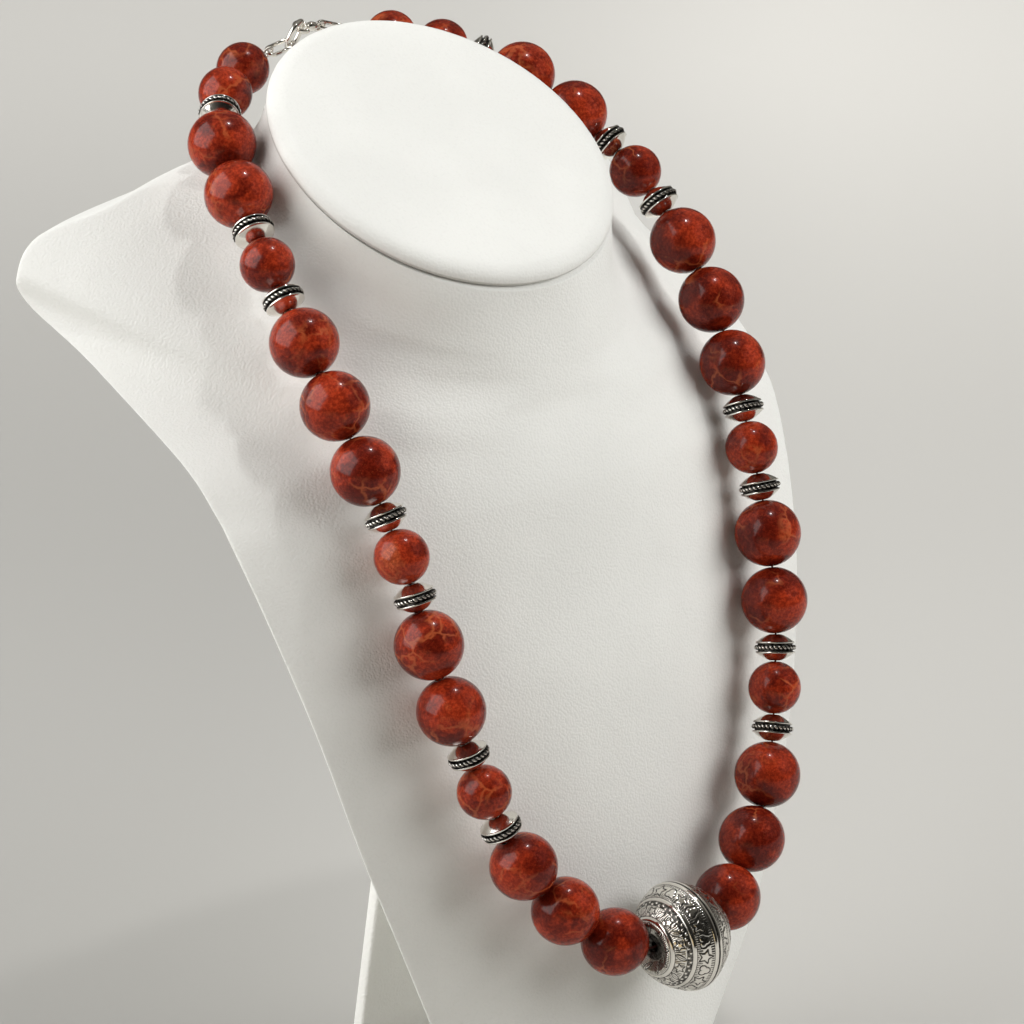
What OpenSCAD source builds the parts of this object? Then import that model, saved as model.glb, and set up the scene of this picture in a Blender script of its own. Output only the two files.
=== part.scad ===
// Coral bead necklace with silver spacers and an engraved silver centre bead, worn by a neck bust.
// Millimetres. X to the viewer's right, Y to the back, Z up, origin under the middle of the bust.

/* [Coral beads] */
// Diameter of a large coral bead
large_d = 19.9; // [19:0.1:20]
// Diameter of a small coral bead
small_d = 15.8; // [15:0.1:16]
// Diameter of the hole drilled through every bead
bore_d = 2.3; // [2.1:0.1:2.4]
// Clearance between neighbours on the string
bead_gap = 0.16; // [0.1:0.01:0.2]

/* [Silver spacers] */
// Outer diameter of a spacer over its twisted wire
spacer_d = 12.6; // [12:0.2:13]
// Length of a spacer along the string
spacer_len = 7.8; // [7.4:0.1:8]
// Width of the banded edge of a spacer
spacer_band = 3.4; // [3:0.2:4]

/* [Centre bead] */
// Diameter of the centre bead over its edge ribs
centre_d = 33.4; // [32:0.2:34]
// Length of the centre bead along the string
centre_len = 24.4; // [24:0.2:25]
// Height of the raised ornament on the centre bead
relief = 0.5; // [0.3:0.1:0.8]

/* [Thread and clasp] */
// Diameter of the thread
thread_d = 0.6; // [0.4:0.1:0.6]
// Wire diameter of the end loops
loop_wire = 1; // [0.8:0.1:1.1]
// Wire diameter of the oval links
link_wire = 1.2; // [1.1:0.1:1.3]
// Outer diameter of the clasp ring
ring_d = 10.6; // [10.4:0.1:11.2]
// Wire diameter of the clasp ring
ring_wire = 1.6; // [1.4:0.1:1.7]

/* [Bust] */
// Width of the oval top of the neck
pad_w = 106; // [104:1:108]
// Length of the oval top along its slope
pad_len = 109; // [108:1:112]
// Thickness of the padded top
pad_t = 6; // [5:0.5:7]
// Forward slope of the top, in degrees
pad_slope = 31; // [30:0.5:32]
// Width of the back leg
leg_w = 60; // [54:2:66]
// Thickness of the back leg
leg_t = 4.5; // [4:0.5:6]

/* [Hidden] */
CORAL = "firebrick";
SILVER = "silver";
WHITE = "ivory";
THREAD = "dimgray";

// Points of the string's right half, from the middle of the centre bead up to the last bead behind
// the neck: [half width, depth, height].
string_rows = [
    [0, -80.6, 75],
    [22.5, -76.7, 79],
    [48.5, -66.5, 107],
    [64, -52.5, 156],
    [68.5, -37, 199],
    [73, -14.5, 238],
    [71, 16.5, 271],
    [58, 52.5, 296],
    [42, 71, 304.5],
    [28.5, 79.5, 308],
];
string_steps = 14;
// What is threaded on one half, from the centre bead up: L large, S small, o spacer.
half_pattern = "LLLoSoLLoSoLLLoSoLLoSS";
// The first bead's hole starts this far off the plane of the centre bead's end, which is dished.
centre_gap = 1.1;

// Sections of the bust from the table top up to the neck. Each is cut by a plane that crosses the
// line Y = fan_depth at a height and rises to the back by a tilt in degrees:
// [height, tilt, half width, depth of the rim, of the front, of the back, power, roundness]
// Power shapes the front; roundness 0 is a lens with a rim at each side, 1 is an oval.
PLANE = 0; TILT = 1; W = 2; RIM = 3; FRONT = 4; BACK = 5; POWER = 6; ROUND = 7;
fan_depth = -129;
bust_rows = [
    [0, 0, 41, -42, -68, -28, 2, 0],
    [21, 0, 51, -44.5, -67, -26, 2, 0],
    [52, 0, 65, -46, -65, -24, 2, 0],
    [79, 0, 75, -44, -63, -20, 2, 0],
    [112, 0, 86, -39.5, -58, -12, 2, 0],
    [148, 0, 95, -32, -51.5, 5, 2, 0],
    [175, 0, 101, -22.5, -44, 22, 2, 0],
    [197, 0, 105, -12, -38.5, 40, 2, 0],
    [197, 5, 106, -4, -36, 54, 2.05, 0],
    [197, 10, 107, 12, -32.2, 71, 2.15, 0],
    [197, 13.5, 107, 52, -28.7, 84, 2.8, 0],
    [197, 15.5, 111, 78, -27, 93, 2.8, 0],
    [197, 17.5, 112, 80, -26.2, 96, 2.35, 0],
    [197, 19.5, 104, 81, -25.4, 90, 2.25, 0],
    [197, 21.5, 87, 74, -24.6, 83, 2.5, 0],
    [197, 23.5, 69, 68.3, -23.9, 78, 2.6, 0.7],
    [197, 25.5, 58.1, 46.8, -23.4, 75, 2.55, 0.9],
    [197, 27.5, 54.1, 35, -23.1, 72.5, 2.35, 1],
    [196, 29.5, 52.7, 28.3, -23, 71.5, 2.2, 1],
    [195.7, pad_slope, 52, 24, -23, 71, 2, 1],
];
row_steps = 3;
bust_side_points = 14;
pad_centre = [0, 24, 289];
pad_drop = 1;
pad_rings = 5;
pad_points = 48;
// The leg meets the back of the bust at this height and leans back by this much per millimetre.
leg_top = [5.3, 148];
leg_lean = 0.175;

// The clasp lies behind the neck: where the last bead's hole points, the ring and the hook.
clasp_side = [14, 83.8, 310];
ring_centre = [-5, 84.2, 313.2];
ring_normal = [-0.455, 0.81, 0.37];
hook_tail = [7.4, 85.6, 313.8];
loop_r = 1.8;
link_r = 1.65;
collar_len = 2.6;
collar_d = 2.2;
collar_bore = 1.2;
collar_gap = 0.5;
// The hook's swelling body as [radius, distance from the jaw], its neck at the eye, and the eye.
hook_body = [[0.7, 0], [1.4, 0.9], [1.55, 1.8], [1.2, 3.2]];
hook_neck_r = 0.7;
eye_r = 1.6;
eye_wire = 1.2;
jaw_r = 2.1;
jaw_wire = 1.5;
jaw_sweep = 290;
jaw_tip_d = 1.8;
// Where on the clasp ring the left link and the hook's jaw sit, in degrees round it.
link_at = 208;
hook_at = 20;

fine = 64;
wire_fn = 36;

function unit(v) = v / norm(v);
function flip(p) = [-p[0], p[1], p[2]];
function backwards(list) = [for (i = [len(list) - 1 : -1 : 0]) list[i]];
function two_digits(n) = n < 10 ? str("0", n) : str(n);

// A smooth curve through rows, as a list of points.
function curve_point(a, b, c, d, t) =
    0.5 * (2 * b + (c - a) * t + (2 * a - 5 * b + 4 * c - d) * t * t + (3 * b - a - 3 * c + d) * t * t * t);
function row_or_beyond(rows, i) =
    i < 0 ? flip(rows[1])
    : i < len(rows) ? rows[i]
    : 2 * rows[len(rows) - 1] - rows[len(rows) - 2];
string_path = [
    for (i = [0 : len(string_rows) - 1], k = [0 : string_steps - 1])
        curve_point(row_or_beyond(string_rows, i - 1), string_rows[i],
            row_or_beyond(string_rows, i + 1), row_or_beyond(string_rows, i + 2), k / string_steps)
];

// The first point past segment k of the path that lies a distance d from c, as [segment, point].
function on_segment(a, b, c, d) =
    let (u = b - a, w = a - c, qa = u * u, qb = 2 * (u * w), qc = w * w - d * d)
        a + u * (-qb + sqrt(qb * qb - 4 * qa * qc)) / (2 * qa);
function next_along(path, k, c, d) =
    norm(path[k + 1] - c) >= d ? [k, on_segment(path[k], path[k + 1], c, d)]
    : next_along(path, k + 1, c, d);
function strung(path, reach, i, k, c) =
    i == len(reach) ? []
    : let (s = next_along(path, k, c, reach[i])) concat([s[1]], strung(path, reach, i + 1, s[0], s[1]));

function half_len(kind) =
    kind == "L" ? large_d / 2 : kind == "S" ? small_d / 2 : kind == "o" ? spacer_len / 2 : centre_len / 2;
half_kinds = concat(["C"], [for (k = half_pattern) k]);
half_reach = [
    for (i = [1 : len(half_kinds) - 1])
        half_len(half_kinds[i - 1]) + half_len(half_kinds[i]) + (i == 1 ? centre_gap : bead_gap)
];
half_centres = concat([string_rows[0]], strung(string_path, half_reach, 0, 0, string_rows[0]));
last = len(half_centres) - 1;

// Where the thread leaves piece i; a piece's hole points from the place before it to its own.
function leave(i) =
    i == 0 ? half_centres[0] + [half_len("C"), 0, 0]
    : half_centres[i] + (half_len(half_kinds[i]) + bead_gap / 2)
        * unit((i == last ? clasp_side : half_centres[i + 1]) - half_centres[i]);
function half_axis(i) = i == 0 ? [1, 0, 0] : unit(leave(i) - leave(i - 1));

// Every threaded piece from the left end round to the right end: [kind, centre, axis].
right_half = [for (i = [1 : last]) [half_kinds[i], half_centres[i], half_axis(i)]];
left_half = [for (p = backwards(right_half)) [p[0], flip(p[1]), -flip(p[2])]];
threaded = concat(left_half, [["C", half_centres[0], half_axis(0)]], right_half);
large_places = [for (p = threaded) if (p[0] == "L") p];
small_places = [for (p = threaded) if (p[0] == "S") p];
spacer_places = [for (p = threaded) if (p[0] == "o") p];

large_names = [for (i = [1 : len(large_places)]) str("large_bead_", two_digits(i))];
small_names = [for (i = [1 : len(small_places)]) str("small_bead_", two_digits(i))];
spacer_names = [for (i = [1 : len(spacer_places)]) str("spacer_", two_digits(i))];

function hole_end(p, side) = p[1] + side * half_len(p[0]) * p[2];

// Places on the clasp ring's wire and the way the wire runs there.
ring_across = unit(cross([0, 0, 1], -ring_normal));
ring_up = unit(cross(ring_across, ring_normal));
ring_r = (ring_d - ring_wire) / 2;
function on_ring(a) = ring_centre + ring_r * (cos(a) * ring_across + sin(a) * ring_up);
function along_ring(a) = cos(a) * ring_up - sin(a) * ring_across;

// The ends of the string: [place, direction in which the thread goes on from it to the clasp].
right_hole = hole_end(threaded[len(threaded) - 1], 1);
left_hole = flip(right_hole);
end_right = [right_hole, unit(hook_tail - right_hole)];
end_left = [left_hole, unit(on_ring(link_at) - left_hole)];

// The thread runs straight through each hole and bends between two of them.
thread_inset = 1.2;
thread_tail = 1.2;
function inside_hole(p, side) = p[1] + side * (half_len(p[0]) - thread_inset) * p[2];
thread_points = concat(
    [end_left[0] + thread_tail * end_left[1]],
    [for (p = threaded, side = [-1, 1]) inside_hole(p, side)],
    [end_right[0] + thread_tail * end_right[1]]
);

// Turns the local Z axis of its children to a direction and moves them to a place.
module aim(place, direction) {
    d = unit(direction);
    translate(place) rotate([0, acos(d[2]), atan2(d[1], d[0])]) children();
}

// A closed solid through rings of points that run counterclockwise seen from its far end.
module loft(rings) {
    n = len(rings[0]);
    m = len(rings);
    polyhedron(
        points = [for (ring = rings, p = ring) p],
        faces = concat(
            [[for (i = [0 : n - 1]) i]],
            [for (r = [0 : m - 2], i = [0 : n - 1]) [r * n + i, (r + 1) * n + i, r * n + (i + 1) % n]],
            [for (r = [0 : m - 2], i = [0 : n - 1])
                [(r + 1) * n + i, (r + 1) * n + (i + 1) % n, r * n + (i + 1) % n]],
            [[for (i = [n - 1 : -1 : 0]) (m - 1) * n + i]]
        )
    );
}

module coral_bead(place, d) {
    color(CORAL) aim(place[1], place[2]) difference() {
        sphere(d = d, $fn = fine);
        cylinder(d = bore_d, h = d + 1, center = true, $fn = wire_fn);
    }
}

// A spacer has two saucer domes, each with a plain rim, and a twisted wire in the groove between them.
rim_w = 0.45;
rim_r = spacer_d / 2 - rim_w;
dome_step = 0.2;
dome_r = rim_r - dome_step;
dome_steps = 8;
dome_power = 1.4;
spacer_end_r = 1.7;
groove_depth = 0.6;
groove_r = rim_r - groove_depth;
rope_sunk = 0.2;
rope_r = (spacer_d / 2 - groove_r + rope_sunk) / 2;
function spacer_edge(side) = [
    for (k = [0 : dome_steps]) let (u = k / dome_steps)
        [spacer_end_r + (dome_r - spacer_end_r) * u,
         side * (spacer_band / 2 + (spacer_len - spacer_band) / 2 * (1 - pow(u, dome_power)))]
];
module spacer(place) {
    band = spacer_band / 2;
    color(SILVER) aim(place[1], place[2]) {
        rotate_extrude($fn = fine) polygon(concat(
            [[bore_d / 2, spacer_len / 2]],
            spacer_edge(1),
            [[rim_r, band], [rim_r, band - rim_w], [groove_r, band - rim_w],
             [groove_r, rim_w - band], [rim_r, rim_w - band], [rim_r, -band]],
            backwards(spacer_edge(-1)),
            [[bore_d / 2, -spacer_len / 2]]
        ));
        rotate_extrude($fn = fine) translate([spacer_d / 2 - rope_r, 0]) circle(r = rope_r, $fn = wire_fn);
    }
}

// The centre bead's outline is a full oval round the string, cut off at each end; r at a distance z
// along the string.
centre_rib_rise = 0.5;
centre_body_r = centre_d / 2 - centre_rib_rise;
centre_reach = 0.592 * centre_len;
centre_fullness = 1.34;
function centre_r(z) = centre_body_r * sqrt(1 - pow(abs(z) / centre_reach, centre_fullness));
function centre_slope(z) = atan2(centre_r(z - 0.1) - centre_r(z + 0.1), 0.2);
centre_hole_r = 1.6;
// Each end is dished, so that the first coral bead nests in it.
dish_depth = 1.4;
dish_floor_r = 4;
dish_rim_w = 0.25;
dish_rim_r = centre_r(centre_len / 2) - dish_rim_w;
dish_slope = atan2(dish_depth, dish_rim_r - dish_floor_r);
rib_places = [0.9, 6.9, 11.3];
rib_r = 0.55;
rib_sunk = 0.1;
// How deep the foot of a raised figure sits in the bead.
root = 0.6;
// A band of figures, a band of leaves and, in the dish, a ring of leaves: place along the string or
// distance from it, and radius.
figure_count = 20;
figure_at = 4;
star_r = 2;
shield_r = 1.7;
leaf_count = 18;
leaf_at = 9.1;
leaf_r = 1.4;
end_leaf_count = 9;
end_leaf_at = 5.5;
end_leaf_z = centre_len / 2 - (dish_rim_r - end_leaf_at) * tan(dish_slope);
end_relief = 0.6 * relief;
star_waist = 0.5;
shield_waist = 0.22;
shield_squash = 0.9;
leaf_belly = [0.3, 0.45];
module centre_rib(z) {
    rotate_extrude($fn = fine) translate([centre_r(z) - rib_sunk, z]) circle(r = rib_r, $fn = wire_fn);
}
// Stands its children, drawn flat, on the bead's surface at z along the string and turned by angle.
module on_centre_bead(z, angle) {
    rotate([0, 0, angle]) translate([centre_r(z) - root, 0, z]) rotate([0, 90 - centre_slope(z), 0])
        linear_extrude(root + relief) children();
}
module in_dish(angle) {
    rotate([0, 0, angle]) translate([end_leaf_at, 0, end_leaf_z]) rotate([0, -dish_slope, 0])
        translate([0, 0, -root]) linear_extrude(root + end_relief) children();
}
module star() {
    polygon([
        for (i = [0 : 9])
            let (q = star_r * (i % 2 == 0 ? 1 : star_waist)) [q * cos(36 * i), q * sin(36 * i)]
    ]);
}
module shield() {
    polygon([
        for (a = [0 : 30 : 330])
            let (q = shield_r * (1 - shield_waist * cos(3 * a))) [q * cos(a), shield_squash * q * sin(a)]
    ]);
}
module leaf() {
    belly = leaf_r * leaf_belly;
    polygon([[leaf_r, 0], belly, [-leaf_r, 0], [belly[0], -belly[1]]]);
}
module centre_ornament() {
    for (i = [0 : figure_count - 1])
        on_centre_bead(figure_at, i * 360 / figure_count) if (i % 2 == 0) star(); else shield();
    for (i = [0 : leaf_count - 1]) on_centre_bead(leaf_at, i * 360 / leaf_count) leaf();
    for (i = [0 : end_leaf_count - 1]) in_dish(i * 360 / end_leaf_count) leaf();
}
module centre_bead() {
    place = threaded[len(left_half)];
    end = centre_len / 2;
    color(SILVER) aim(place[1], place[2]) difference() {
        union() {
            rotate_extrude($fn = 96) polygon(concat(
                [[0, end - dish_depth], [dish_floor_r, end - dish_depth], [dish_rim_r, end]],
                [for (k = [0 : 20]) let (z = end * cos(9 * k)) [centre_r(z), z]],
                [[dish_rim_r, -end], [dish_floor_r, dish_depth - end], [0, dish_depth - end]]
            ));
            for (z = rib_places, side = [-1, 1]) centre_rib(side * z);
            for (side = [0, 1]) mirror([0, 0, side]) centre_ornament();
        }
        cylinder(r = centre_hole_r, h = centre_len + 2, center = true, $fn = wire_fn);
    }
}

thread_sides = 8;
loop_rise = string_rows[len(string_rows) - 1] - string_rows[0];
loop_normal = unit([0, -loop_rise[2], loop_rise[1]]);
function thread_way(i) =
    i == 0 ? unit(thread_points[1] - thread_points[0])
    : i == len(thread_points) - 1 ? unit(thread_points[i] - thread_points[i - 1])
    : unit(unit(thread_points[i + 1] - thread_points[i]) + unit(thread_points[i] - thread_points[i - 1]));
function thread_ring(i) =
    let (t = thread_way(i), side = unit(cross(t, loop_normal)), up = cross(side, t))
        [for (k = [0 : thread_sides - 1]) let (a = 360 * k / thread_sides)
            thread_points[i] + thread_d / 2 * (side * cos(a) - up * sin(a))];
module thread() {
    color(THREAD) loft([for (i = [0 : len(thread_points) - 1]) thread_ring(i)]);
}

// A wire ring lying flat.
module wire_ring(r, wire, sweep = 360) {
    rotate_extrude(angle = sweep, $fn = fine) translate([r, 0]) circle(d = wire, $fn = wire_fn);
}
// A long link lying flat from a to b along X, whose round ends have radius r. Its straight sides are
// a hair thinner and run a little way into the round ends, so that the four join as one solid.
side_lap = 0.1;
side_thinner = 0.02;
module long_link(length, r, wire) {
    for (side = [-1, 1]) {
        translate([side * length / 2, 0, 0]) rotate([0, 0, -90 * side]) wire_ring(r, wire, 180);
        translate([0, side * r, 0]) rotate([0, 90, 0])
            cylinder(d = wire - side_thinner, h = length + 2 * side_lap, center = true, $fn = wire_fn);
    }
}

// Sets its children, drawn along X with the given local Z, at a place.
module set_along(place, x, z) {
    y = cross(z, x);
    multmatrix([
        [x[0], y[0], z[0], place[0]],
        [x[1], y[1], z[1], place[1]],
        [x[2], y[2], z[2], place[2]],
        [0, 0, 0, 1]
    ]) children();
}
function square_to(v, x) = unit(v - (v * x) * x);

// An end loop: a crimped collar over the thread and a ring whose plane holds the direction up.
loop_reach = collar_gap + collar_len + loop_r;
function loop_far(end) = end[0] + end[1] * (loop_reach + loop_r);
module end_loop(end, up) {
    color(SILVER) set_along(end[0], end[1], square_to(up, end[1])) {
        translate([collar_gap, 0, 0]) rotate([0, 90, 0]) difference() {
            cylinder(d = collar_d, h = collar_len, $fn = wire_fn);
            translate([0, 0, -collar_bore]) cylinder(d = collar_bore, h = 2 * collar_bore, $fn = wire_fn);
        }
        translate([loop_reach, 0, 0]) rotate([90, 0, 0]) wire_ring(loop_r, loop_wire);
    }
}

// A link round two wires that both run along up where they pass through it.
module link_between(a, b, up) {
    x = unit(b - a);
    color(SILVER) set_along((a + b) / 2, x, square_to(up, x)) long_link(norm(b - a), link_r, link_wire);
}

module clasp_ring() {
    color(SILVER) aim(ring_centre, ring_normal) wire_ring(ring_r, ring_wire);
}

// A cast hook: a jaw round the clasp ring's wire, a tapered body and an eye at the tail.
module clasp_hook() {
    jaw = on_ring(hook_at);
    x = unit(hook_tail - jaw);
    eye_at = norm(hook_tail - jaw);
    body_len = eye_at - 2 * eye_r - jaw_r;
    color(SILVER) set_along(jaw, x, square_to(along_ring(hook_at), x)) {
        wire_ring(jaw_r, jaw_wire, jaw_sweep);
        rotate([0, 0, jaw_sweep]) translate([jaw_r, 0, 0]) sphere(d = jaw_tip_d, $fn = wire_fn);
        translate([jaw_r, 0, 0]) rotate([0, 90, 0]) rotate_extrude($fn = fine) polygon(concat(
            [[0, 0]], hook_body, [[hook_neck_r, body_len], [0, body_len]]
        ));
        translate([eye_at - eye_r, 0, 0]) rotate([90, 0, 0]) wire_ring(eye_r, eye_wire);
    }
}

// The bust's section at a place between its rows, counted in rows from the bottom.
function row_at(q) =
    let (n = len(bust_rows) - 1, i = min(floor(q), n - 1))
        curve_point(bust_rows[max(i - 1, 0)], bust_rows[i],
            bust_rows[i + 1], bust_rows[min(i + 2, n)], q - i);
// How far the outline stands off the rim at the share s of the half width.
function bulge(s, power, soft) = pow(max(0, 1 - pow(s, power)), 1 - soft / 2);
function bust_ring(q) =
    let (
        r = row_at(q),
        n = bust_side_points,
        shares = [for (k = [0 : n]) sin(90 * k / n)],
        back_power = 4 - 2 * r[ROUND],
        front = [for (s = shares) [r[W] * s, r[RIM] - (r[RIM] - r[FRONT]) * bulge(s, r[POWER], r[ROUND])]],
        back = [for (s = shares) [r[W] * s, r[RIM] + (r[BACK] - r[RIM]) * bulge(s, back_power, r[ROUND])]],
        half = concat(front, [for (k = [n - 1 : -1 : 0]) back[k]]),
        outline = concat(half, [for (k = [len(half) - 2 : -1 : 1]) [-half[k][0], half[k][1]]])
    )
        [for (p = outline) [p[0], p[1], r[PLANE] + (p[1] - fan_depth) * tan(r[TILT])]];
module bust() {
    color(WHITE) loft([for (i = [0 : row_steps * (len(bust_rows) - 1)]) bust_ring(i / row_steps)]);
}

// The padded top: flat below, rolled over at its edge.
function pad_ring(k) =
    let (a = 90 * k / pad_rings, inset = pad_t * (1 - cos(a)), z = pad_t * sin(a) - pad_drop)
        [for (i = [0 : pad_points - 1]) let (b = 360 * i / pad_points)
            [(pad_w / 2 - inset) * cos(b), (pad_len / 2 - inset) * sin(b), z]];
module neck_pad() {
    color(WHITE) translate(pad_centre) rotate([pad_slope, 0, 0])
        loft([for (k = [0 : pad_rings]) pad_ring(k)]);
}

// A flat leg from the back of the bust to the table.
module stand_leg() {
    foot = leg_top[0] + leg_lean * leg_top[1];
    color(WHITE) translate([-leg_w / 2, 0, 0]) rotate([90, 0, 90]) linear_extrude(leg_w)
        polygon([leg_top, [foot, 0], [foot + leg_t, 0], leg_top + [leg_t, 0]]);
}

for (i = [0 : len(large_names) - 1])
    coral_bead(large_places[i], large_d);
for (i = [0 : len(small_names) - 1])
    coral_bead(small_places[i], small_d);
for (i = [0 : len(spacer_names) - 1])
    spacer(spacer_places[i]);
centre_bead();
thread();
end_loop(end_left, along_ring(link_at));  // end_loop_left
end_loop(end_right, along_ring(hook_at));  // end_loop_right
link_between(loop_far(end_left), on_ring(link_at), along_ring(link_at));  // link_left
link_between(hook_tail, loop_far(end_right), along_ring(hook_at));  // link_right
clasp_ring();
clasp_hook();
bust();
neck_pad();
stand_leg();
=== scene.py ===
"""Coral bead necklace with silver spacers and an engraved centre bead, laid round a white neck bust."""

import math

import bpy
import numpy as np
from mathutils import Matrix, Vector


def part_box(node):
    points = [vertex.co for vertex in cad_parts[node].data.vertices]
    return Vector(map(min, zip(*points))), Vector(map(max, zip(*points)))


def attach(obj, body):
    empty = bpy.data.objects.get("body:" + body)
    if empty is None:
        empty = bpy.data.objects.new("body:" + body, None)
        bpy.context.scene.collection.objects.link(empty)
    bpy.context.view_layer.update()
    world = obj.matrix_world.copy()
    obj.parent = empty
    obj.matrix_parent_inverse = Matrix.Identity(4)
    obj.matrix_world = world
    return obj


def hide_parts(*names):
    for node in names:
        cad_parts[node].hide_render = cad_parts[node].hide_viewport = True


bl_info = {
    "name": "Coral necklace on a neck bust",
    "version": (1, 0, 0),
    "blender": (4, 5, 0),
    "location": "3D View > Sidebar > Necklace",
    "description": "Dresses the beads, spacers, centre bead, clasp and bust of a coral necklace",
    "category": "Object",
}

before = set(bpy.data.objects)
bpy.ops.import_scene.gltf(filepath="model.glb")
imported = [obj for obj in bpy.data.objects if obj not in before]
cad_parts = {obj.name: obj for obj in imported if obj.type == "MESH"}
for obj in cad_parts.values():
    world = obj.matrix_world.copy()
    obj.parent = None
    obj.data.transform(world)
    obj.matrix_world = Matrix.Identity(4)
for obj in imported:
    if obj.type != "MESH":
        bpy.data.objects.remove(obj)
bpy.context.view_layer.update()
# Shapes are worked out in millimetres and kept in metres. Patterns and lights are in metres.
MM = 0.001


def unit(v):
    return np.asarray(v, float) / np.linalg.norm(v)


# The string of beads

# One half of the string from the centre bead up: L large, S small, o spacer.
HALF = "LLLoSoLLoSoLLLoSoLLoSS"
NODE_OF = {"L": "large_bead", "S": "small_bead", "o": "spacer"}
# Half the length of each kind along the thread, with C for the centre bead.
HALF_LENGTH = {"L": 9.95, "S": 7.9, "o": 3.9, "C": 12.2}
BEAD_GAP = 0.16
# Where the hole of the last bead on the right points, behind the neck. The left side mirrors it.
CLASP_SIDE = np.array((14.0, 83.8, 310.0))


def string_nodes():
    """Kind and name of each threaded node from the left end round to the right end."""
    count = {}
    out = []
    for kind in HALF[::-1] + "C" + HALF:
        count[kind] = count.get(kind, 0) + 1
        name = "centre_bead" if kind == "C" else f"{NODE_OF[kind]}_{count[kind]:02d}"
        out.append((kind, name))
    return out


def node_centre(name):
    low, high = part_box(name)
    return np.array((low + high) / 2) / MM


def threaded_places():
    """Kind, name, centre and hole axis of each piece on the string."""
    nodes = string_nodes()
    centres = [node_centre(name) for _, name in nodes]
    middle = len(nodes) // 2
    meet = []
    for i in range(-1, len(nodes)):
        if i == middle - 1 or i == middle:
            sign = -1 if i < middle else 1
            meet.append(centres[middle] + np.array((sign * HALF_LENGTH["C"], 0, 0)))
            continue
        inner, outer = (i + 1, i) if i < middle else (i, i + 1)
        if outer < 0:
            target = CLASP_SIDE * (-1, 1, 1)
        elif outer >= len(nodes):
            target = CLASP_SIDE
        else:
            target = centres[outer]
        way = target - centres[inner]
        reach = HALF_LENGTH[nodes[inner][0]] + BEAD_GAP / 2
        meet.append(centres[inner] + reach * way / np.linalg.norm(way))
    places = []
    for i, (kind, name) in enumerate(nodes):
        places.append((kind, name, centres[i], unit(meet[i + 1] - meet[i])))
    return places


THREADED = threaded_places()

# How orange each coral bead is, 0 to 1, from the left end of the string to the right end.
TONES = (
    0.45, 0.6, 0.5, 0.4, 0.6, 0.55, 0.45, 0.3, 1.0, 0.45, 0.35, 0.5, 0.4, 0.3, 0.35,
    0.35, 0.3, 0.3, 0.95, 0.4, 0.35, 0.6, 0.35, 0.25, 0.2, 0.5, 0.45, 0.4, 0.4, 0.4,
)
MIDDLE_TONE = 0.5
TONE_OF = dict(zip([p[1] for p in THREADED if p[0] in "LS"], TONES))


# Settings


class CoralSettings(bpy.types.PropertyGroup):
    """Sizes and colours of the coral beads."""

    large_diameter: bpy.props.FloatProperty(
        name="Large bead",
        description="Diameter of a large bead",
        default=0.0199,
        unit="LENGTH",
        subtype="DISTANCE",
    )
    small_diameter: bpy.props.FloatProperty(
        name="Small bead",
        description="Diameter of a small bead",
        default=0.0158,
        unit="LENGTH",
        subtype="DISTANCE",
    )
    hole_diameter: bpy.props.FloatProperty(
        name="Hole",
        description="Diameter of the drilled hole",
        default=0.0023,
        unit="LENGTH",
        subtype="DISTANCE",
    )
    red: bpy.props.FloatVectorProperty(
        name="Red",
        description="Main colour of the coral",
        default=(0.34, 0.032, 0.010),
        size=3,
        subtype="COLOR",
    )
    dark: bpy.props.FloatVectorProperty(
        name="Dark",
        description="Colour of the dark clouds",
        default=(0.13, 0.010, 0.004),
        size=3,
        subtype="COLOR",
    )
    orange: bpy.props.FloatVectorProperty(
        name="Orange",
        description="Colour of the warm clouds, the veins and the specks",
        default=(0.52, 0.12, 0.04),
        size=3,
        subtype="COLOR",
    )


class SilverSettings(bpy.types.PropertyGroup):
    """Sizes and colours of the silver pieces."""

    spacer_diameter: bpy.props.FloatProperty(
        name="Spacer",
        description="Diameter over the twisted wire",
        default=0.0126,
        unit="LENGTH",
        subtype="DISTANCE",
    )
    rope_twists: bpy.props.IntProperty(
        name="Twists",
        description="Turns of the twisted wire round a spacer",
        default=14,
        min=8,
        max=40,
    )
    relief: bpy.props.FloatProperty(
        name="Relief",
        description="Height of the centre bead's raised ornament",
        default=0.00042,
        unit="LENGTH",
        subtype="DISTANCE",
    )
    bright: bpy.props.FloatVectorProperty(
        name="Bright",
        description="Colour of the polished silver",
        default=(0.86, 0.83, 0.77),
        size=3,
        subtype="COLOR",
    )
    black: bpy.props.FloatVectorProperty(
        name="Black",
        description="Colour of the silver in its hollows",
        default=(0.02, 0.018, 0.016),
        size=3,
        subtype="COLOR",
    )


class BustSettings(bpy.types.PropertyGroup):
    """Look of the bust's covering."""

    white: bpy.props.FloatVectorProperty(
        name="White",
        description="Colour of the covering",
        default=(0.80, 0.80, 0.765),
        size=3,
        subtype="COLOR",
    )
    grain: bpy.props.FloatProperty(
        name="Grain",
        description="Width of a pebble of the grain",
        default=0.00068,
        unit="LENGTH",
        subtype="DISTANCE",
    )


class StageSettings(bpy.types.PropertyGroup):
    """Camera and studio."""

    focal_length: bpy.props.FloatProperty(
        name="Focal length",
        description="Camera lens in millimetres",
        default=161.7,
        min=20,
        max=400,
    )
    floor: bpy.props.FloatVectorProperty(
        name="Floor",
        description="Colour of the floor",
        default=(0.565, 0.555, 0.525),
        size=3,
        subtype="COLOR",
    )


# Meshes


def linked(name, data):
    """A new object in the scene, at the origin."""
    obj = bpy.data.objects.new(name, data)
    bpy.context.scene.collection.objects.link(obj)
    return obj


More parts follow.
